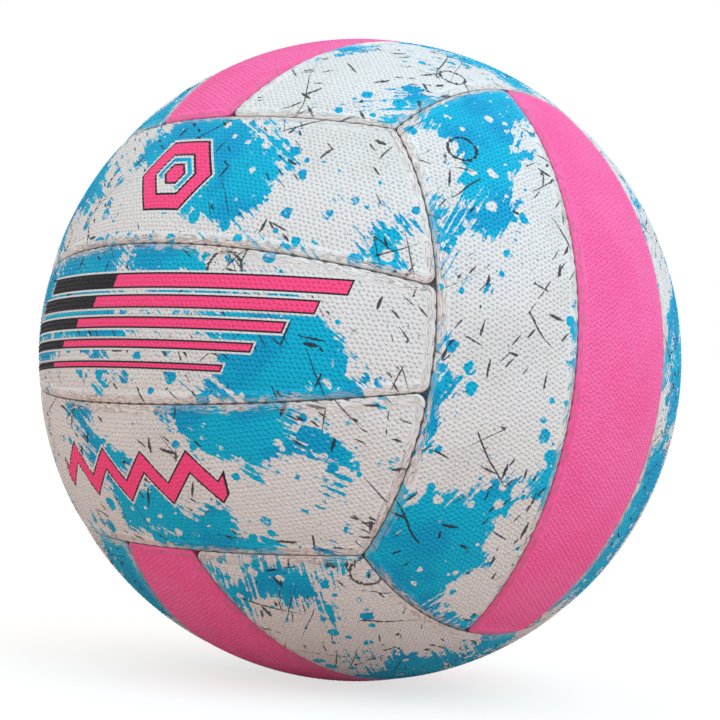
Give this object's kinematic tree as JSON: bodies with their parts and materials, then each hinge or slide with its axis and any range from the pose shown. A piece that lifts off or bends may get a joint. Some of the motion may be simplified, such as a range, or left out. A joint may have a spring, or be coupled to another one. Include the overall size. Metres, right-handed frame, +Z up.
{
  "type": "netball",
  "caption": "Hand-stitched netball: long rubber strips in crossed groups, sewn by turned-in edges over a lined, inflated bladder with a needle valve.",
  "frame": {"origin": "centre of the ball", "axes": "+Z up through the top group, -Y out of the front group whose strips run level, +X out of the right group whose strips run up and down; the valve is at -X"},
  "size_m": [0.2227, 0.2228, 0.2228],
  "materials": {
    "printed_rubber": "matte, pimpled grip",
    "pink_rubber": "matte, pimpled grip",
    "lining_cloth": "plain weave",
    "waxed_thread": "waxed",
    "bladder_rubber": "smooth",
    "valve_rubber": "matte"
  },
  "bodies": {
    "root": {"panel_front_upper": "printed_rubber", "panel_front_middle": "printed_rubber", "panel_front_lower": "printed_rubber", "panel_back_upper": "printed_rubber", "panel_back_middle": "printed_rubber", "panel_back_lower": "printed_rubber", "panel_right_front": "printed_rubber", "panel_right_middle": "pink_rubber", "panel_right_rear": "printed_rubber", "panel_left_rear": "printed_rubber", "panel_left_middle": "pink_rubber", "panel_left_front": "printed_rubber", "panel_top_left": "printed_rubber", "panel_top_middle": "pink_rubber", "panel_top_right": "printed_rubber", "panel_bottom_right": "printed_rubber", "panel_bottom_middle": "pink_rubber", "panel_bottom_left": "printed_rubber", "lining_front_upper": "lining_cloth", "lining_front_middle": "lining_cloth", "lining_front_lower": "lining_cloth", "lining_back_upper": "lining_cloth", "lining_back_middle": "lining_cloth", "lining_back_lower": "lining_cloth", "lining_right_front": "lining_cloth", "lining_right_middle": "lining_cloth", "lining_right_rear": "lining_cloth", "lining_left_rear": "lining_cloth", "lining_left_middle": "lining_cloth", "lining_left_front": "lining_cloth", "lining_top_left": "lining_cloth", "lining_top_middle": "lining_cloth", "lining_top_right": "lining_cloth", "lining_bottom_right": "lining_cloth", "lining_bottom_middle": "lining_cloth", "lining_bottom_left": "lining_cloth", "seam_thread_front": "waxed_thread", "seam_thread_back": "waxed_thread", "seam_thread_right": "waxed_thread", "seam_thread_left": "waxed_thread", "seam_thread_top": "waxed_thread", "seam_thread_bottom": "waxed_thread", "bladder": "bladder_rubber", "valve_body": "valve_rubber", "valve_plug": "valve_rubber"}
  },
  "joints": []
}
